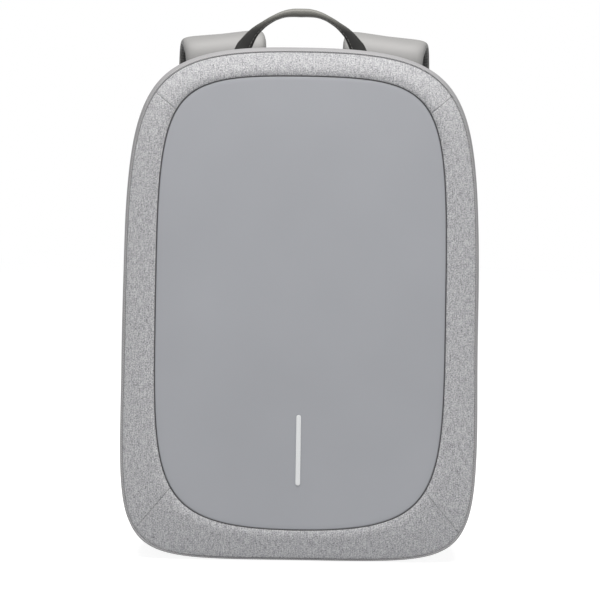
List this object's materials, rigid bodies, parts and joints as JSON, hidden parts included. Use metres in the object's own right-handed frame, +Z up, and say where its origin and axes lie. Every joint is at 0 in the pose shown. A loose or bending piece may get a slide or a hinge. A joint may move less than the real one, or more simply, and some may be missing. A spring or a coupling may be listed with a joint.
{
  "type": "anti theft backpack",
  "caption": "Upright anti theft backpack: smooth padded front in a mitred melange band, zip hidden at the back, padded shoulder straps, carrying handle.",
  "frame": {"origin": "on the floor under the centre of the bag's box", "axes": "+Z up, the front faces -Y, the wearer's back and the straps are at +Y, +X is on the right seen from the front"},
  "size_m": [0.2968, 0.161, 0.4558],
  "materials": {
    "coated_cloth": "smooth matt polyurethane coating",
    "melange_cloth": "speckled melange weave",
    "seam_cord": "fine dark cord",
    "edge_cord": "fine grey cord",
    "gusset_cloth": "smooth matt coating",
    "zip_tape": "knitted tape with coil teeth",
    "hinge_cloth": "plain weave",
    "slider_metal": "dark enamel",
    "air_mesh": "padded spacer mesh",
    "reflective_film": "pale reflective film",
    "handle_cloth": "satin coated tape",
    "strap_cloth": "smooth matt coating",
    "strap_mesh": "spacer mesh",
    "webbing": "ribbed webbing",
    "buckle_plastic": "moulded acetal",
    "tab_cloth": "coated cloth"
  },
  "bodies": {
    "root": {"centre_panel": "coated_cloth", "panel_piping": "seam_cord", "band_top": "melange_cloth", "band_right": "melange_cloth", "band_bottom": "melange_cloth", "band_left": "melange_cloth", "edge_piping": "edge_cord", "gusset": "gusset_cloth", "zip_chain": "zip_tape", "bottom_hinge": "hinge_cloth", "zip_slider": "slider_metal", "back_panel": "air_mesh", "reflective_strip": "reflective_film", "handle": "handle_cloth", "shoulder_strap_right": "strap_cloth", "shoulder_strap_left": "strap_cloth", "strap_lining_right": "strap_mesh", "strap_lining_left": "strap_mesh", "webbing_right": "webbing", "webbing_left": "webbing", "buckle_loop_right": "webbing", "buckle_loop_left": "webbing", "buckle_right": "buckle_plastic", "buckle_left": "buckle_plastic", "anchor_tab_right": "tab_cloth", "anchor_tab_left": "tab_cloth"}
  },
  "joints": []
}
